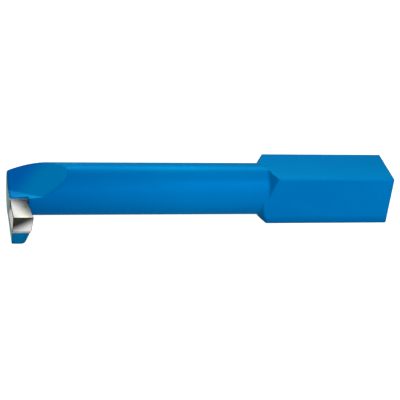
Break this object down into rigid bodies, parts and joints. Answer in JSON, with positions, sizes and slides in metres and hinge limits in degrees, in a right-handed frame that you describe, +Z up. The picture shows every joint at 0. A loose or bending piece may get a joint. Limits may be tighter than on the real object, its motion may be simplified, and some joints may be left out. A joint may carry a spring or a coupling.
{
  "type": "internal grooving tool",
  "caption": "Internal grooving tool for a lathe: square painted shank, long round neck and a hooked head with a brazed carbide tip, right hand.",
  "frame": {"origin": "centre of the underside of the square shank", "axes": "+X along the tool from the head to the rear end of the shank; -Y towards the side on which the hook stands out; +Z up, square to the shank's top, the side to which the tip's face looks"},
  "size_m": [0.1181, 0.0274, 0.016],
  "materials": {
    "painted_steel": "satin blue enamel on forged and turned steel; the end face of the head is ground bare",
    "carbide": "ground grey tungsten carbide",
    "braze": "dull braze"
  },
  "bodies": {
    "root": {"tool_body": "painted_steel", "carbide_tip": "carbide", "braze_seam": "braze"}
  },
  "joints": []
}
